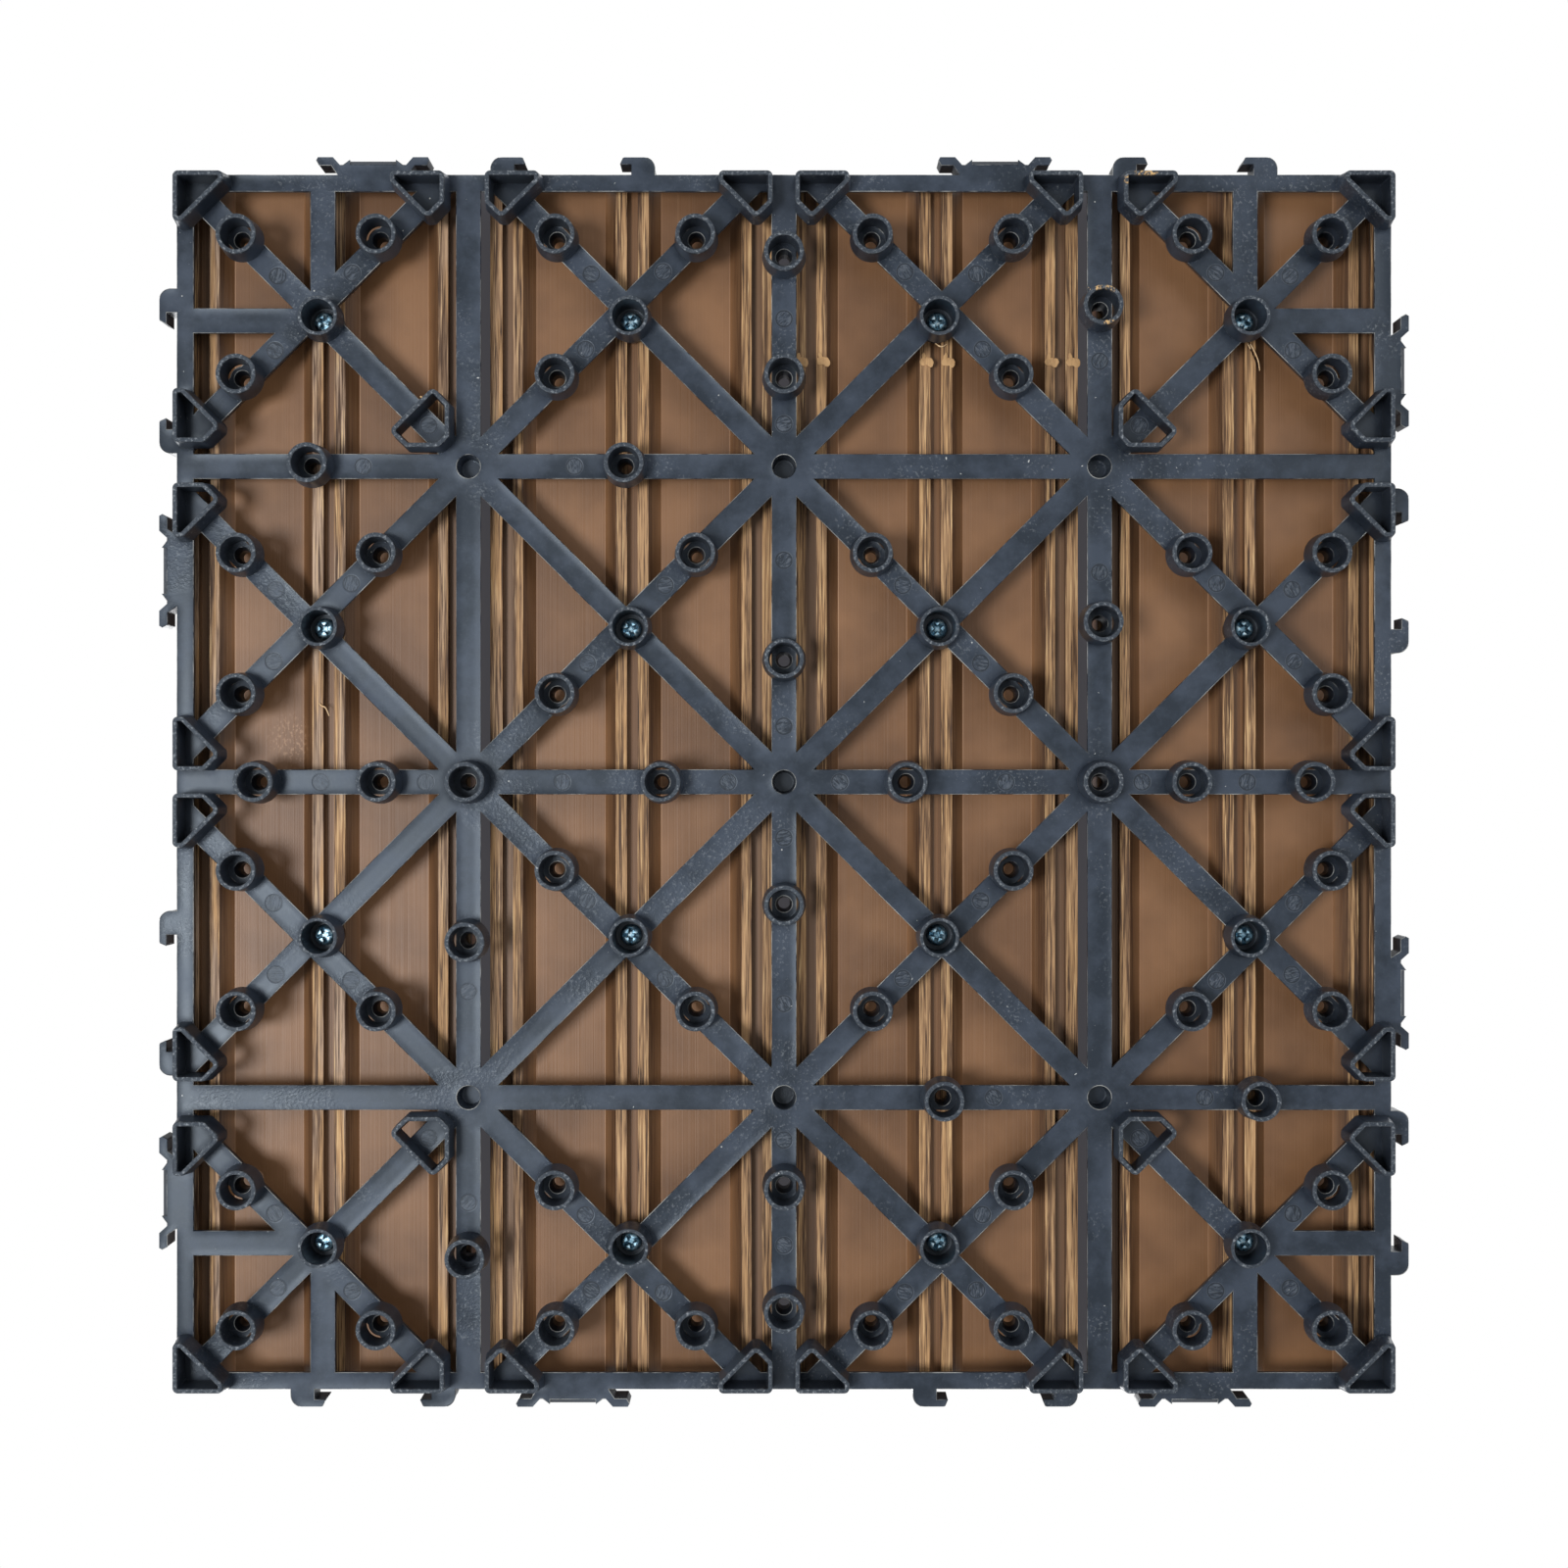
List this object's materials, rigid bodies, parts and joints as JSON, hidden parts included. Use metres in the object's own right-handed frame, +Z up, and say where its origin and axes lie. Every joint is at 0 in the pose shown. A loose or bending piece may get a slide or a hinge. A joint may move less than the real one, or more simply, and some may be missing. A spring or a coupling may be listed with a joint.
{
  "type": "interlocking deck tile",
  "caption": "Square outdoor deck tile: ridged wood-plastic slats screwed from below to a moulded grid with hollow feet, pegs and edge clips that join tiles without tools",
  "frame": {"origin": "middle of the tile on the ground, at the rims of the feet", "axes": "+Z is up, out of the walking face. +Y runs along the slats and is up in the picture, which looks along +Z from below. +X runs across the slats, to the left in the picture."},
  "size_m": [0.3088, 0.3088, 0.022],
  "materials": {
    "grid_plastic": "dark slate-grey moulded plastic with a dull satin face",
    "slat_composite": "brown wood-plastic composite, brushed along its length",
    "screw_zinc": "blue-bright zinc plate"
  },
  "bodies": {
    "root": {"base_grid": "grid_plastic", "slat_1": "slat_composite", "slat_2": "slat_composite", "slat_3": "slat_composite", "slat_4": "slat_composite", "screw_1_1": "screw_zinc", "screw_1_2": "screw_zinc", "screw_1_3": "screw_zinc", "screw_1_4": "screw_zinc", "screw_2_1": "screw_zinc", "screw_2_2": "screw_zinc", "screw_2_3": "screw_zinc", "screw_2_4": "screw_zinc", "screw_3_1": "screw_zinc", "screw_3_2": "screw_zinc", "screw_3_3": "screw_zinc", "screw_3_4": "screw_zinc", "screw_4_1": "screw_zinc", "screw_4_2": "screw_zinc", "screw_4_3": "screw_zinc", "screw_4_4": "screw_zinc"}
  },
  "joints": []
}
